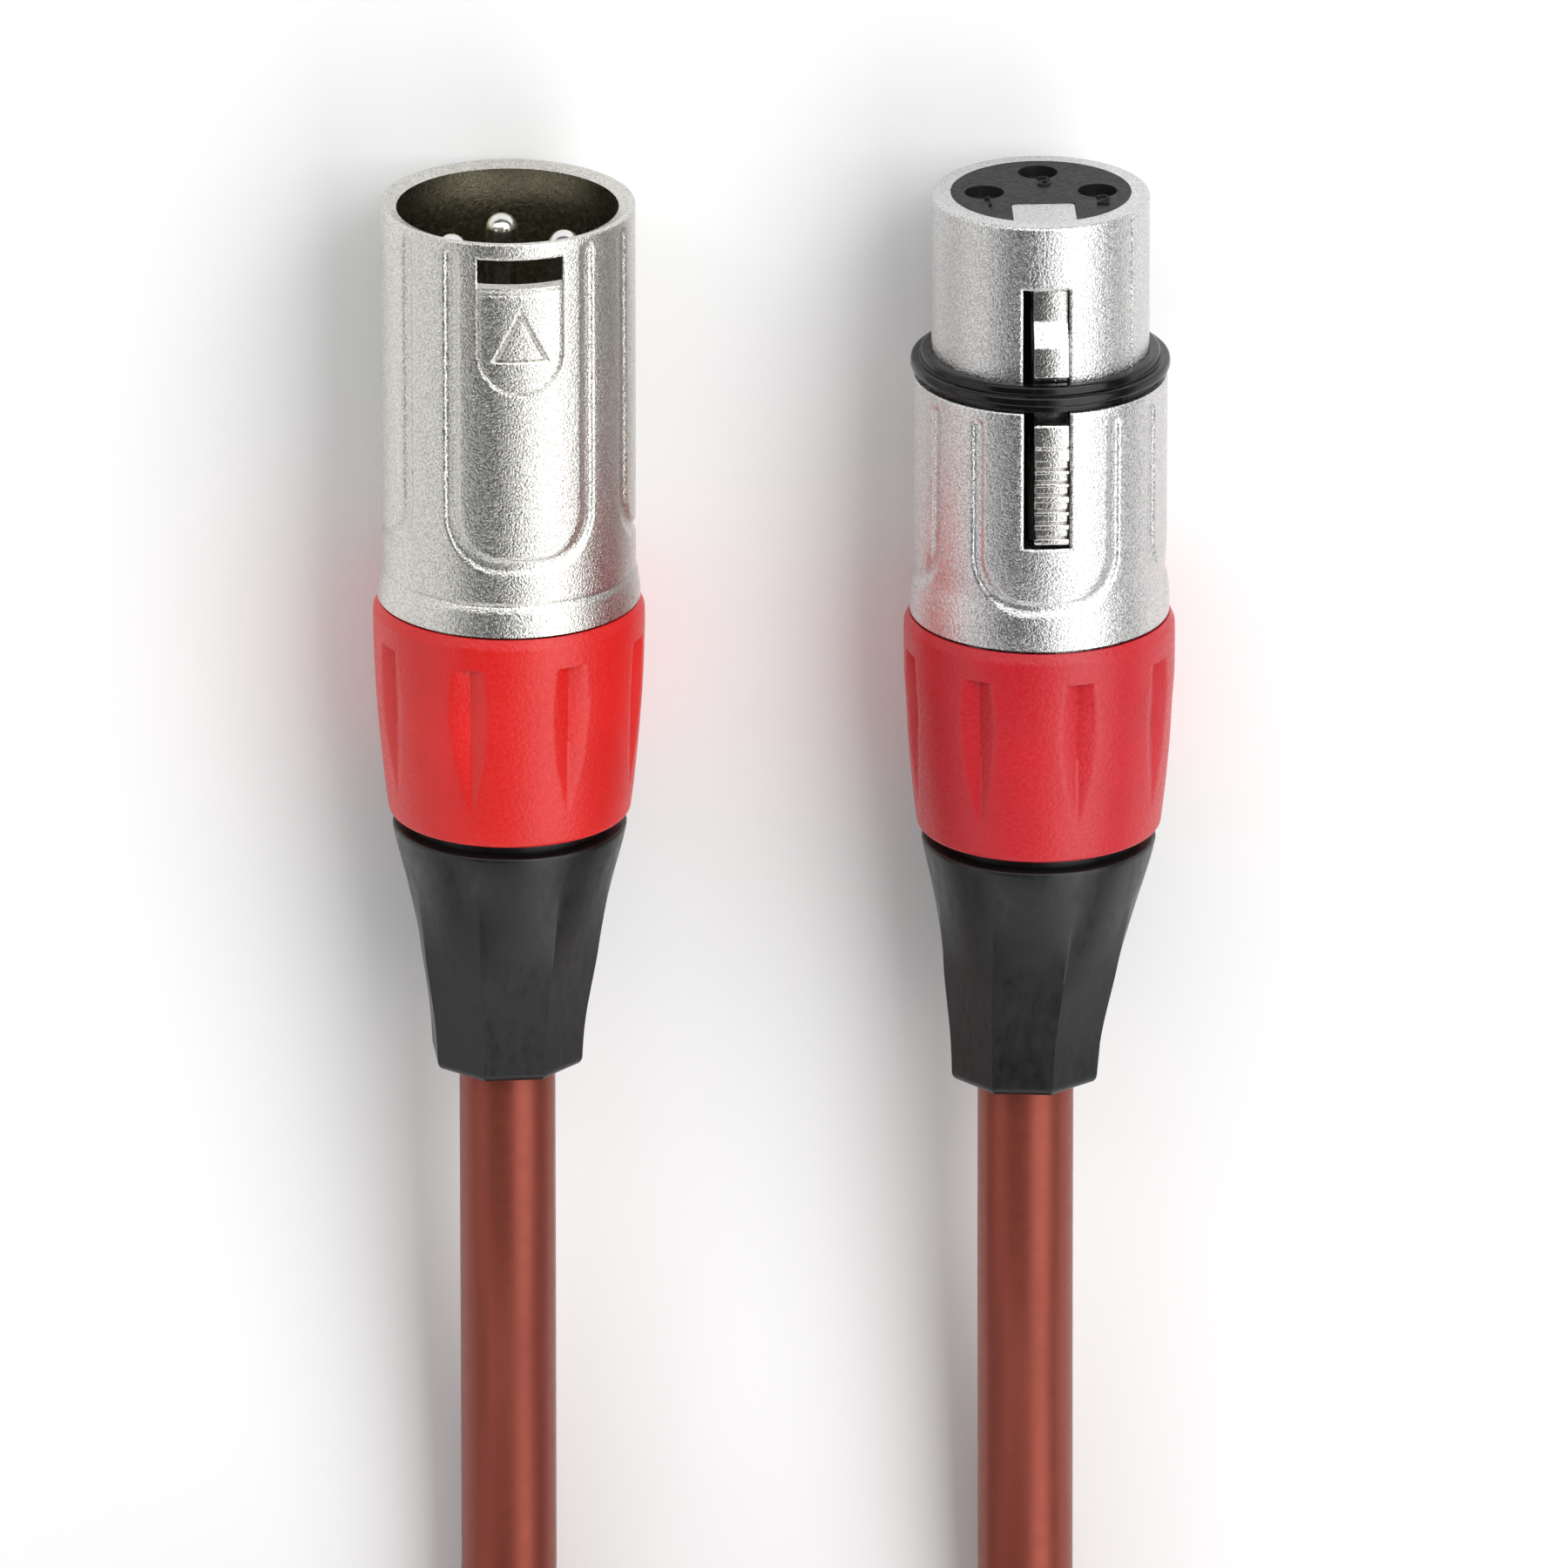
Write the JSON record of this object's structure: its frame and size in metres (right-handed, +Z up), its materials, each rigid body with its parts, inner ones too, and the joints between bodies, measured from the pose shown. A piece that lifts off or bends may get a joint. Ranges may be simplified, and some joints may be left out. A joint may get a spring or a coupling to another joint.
{
  "type": "microphone cable",
  "caption": "Balanced microphone cable with a male and a female 3-pin round connector lying side by side, its spare length wound into a tied coil.",
  "frame": {"origin": "bottom centre of the box round the two connectors, on the surface that the cable lies on", "axes": "+Y the way both mating faces point, +Z up with the latch side on top, the male connector at -X and the female at +X"},
  "size_m": [0.0844, 0.2186, 0.0302],
  "materials": {
    "nickel": "satin nickel plate with a fine cast grain",
    "dark_insert": "moulded dark grey plastic",
    "contact_metal": "brass, silver plated",
    "spring_metal": "spring steel, bright",
    "clamp_plastic": "natural nylon",
    "red_nut": "red moulded plastic, fine satin texture",
    "black_boot": "black soft plastic, slight sheen",
    "cable_jacket": "dusty red jacket, satin",
    "core_red": "red core insulation",
    "core_white": "white core insulation",
    "bare_copper": "tinned copper strands, seen as one wire",
    "black_sleeve": "black sleeving",
    "black_ring": "black ring, glossy",
    "latch_metal": "bright nickel plate",
    "tie_strap": "black hook and loop strap"
  },
  "bodies": {
    "cable_and_shells": {"male_shell": "nickel", "male_insert": "dark_insert", "male_pin_1": "contact_metal", "male_pin_2": "contact_metal", "male_pin_3": "contact_metal", "male_ground_spring": "spring_metal", "male_chuck": "clamp_plastic", "male_cable_end": "cable_jacket", "male_wire_hot": "core_red", "male_wire_cold": "core_white", "male_drain_wire": "bare_copper", "male_shield_sleeve": "black_sleeve", "female_shell": "nickel", "female_ring": "black_ring", "female_insert": "dark_insert", "female_socket_1": "contact_metal", "female_socket_2": "contact_metal", "female_socket_3": "contact_metal", "female_latch_pin": "spring_metal", "female_latch_spring": "spring_metal", "female_ground_spring": "spring_metal", "female_chuck": "clamp_plastic", "female_cable_end": "cable_jacket", "female_wire_hot": "core_red", "female_wire_cold": "core_white", "female_drain_wire": "bare_copper", "female_shield_sleeve": "black_sleeve", "cable_male_lead": "cable_jacket", "cable_female_lead": "cable_jacket", "cable_coil": "cable_jacket", "cable_tie": "tie_strap"},
    "latch": {"female_latch": "latch_metal"},
    "male_boot": {"male_boot": "black_boot"},
    "male_nut": {"male_nut": "red_nut"},
    "female_boot": {"female_boot": "black_boot"},
    "female_nut": {"female_nut": "red_nut"}
  },
  "joints": [
    {"name": "latch_press", "type": "hinge", "parent": "cable_and_shells", "child": "latch", "pos_m": [0.01974, 0.03055, 0.01539], "axis": [0.999, 0, -0.0454], "range_deg": [0, 7], "stiffness_Nm_per_rad": 0.3, "springref_deg": -5.73, "deforming": ["female_latch_spring"]},
    {"name": "male_boot_back", "type": "slide", "parent": "cable_and_shells", "child": "male_boot", "axis": [0, -1, 0], "range_m": [0, 0.0045]},
    {"name": "male_nut_turn", "type": "hinge", "parent": "male_boot", "child": "male_nut", "pos_m": [-0.0195, -0.00523, 0.01], "axis": [0, -1, 0], "range_deg": [0, 1080]},
    {"name": "female_boot_back", "type": "slide", "parent": "cable_and_shells", "child": "female_boot", "axis": [0, -1, 0], "range_m": [0, 0.0045]},
    {"name": "female_nut_turn", "type": "hinge", "parent": "female_boot", "child": "female_nut", "pos_m": [0.0195, -0.00635, 0.01], "axis": [0, -1, 0], "range_deg": [0, 1080]}
  ],
  "couplings": [
    {"joint": "male_nut_turn", "follows": "male_boot_back", "rad_per_m": 4188.8},
    {"joint": "female_nut_turn", "follows": "female_boot_back", "rad_per_m": 4188.8}
  ]
}
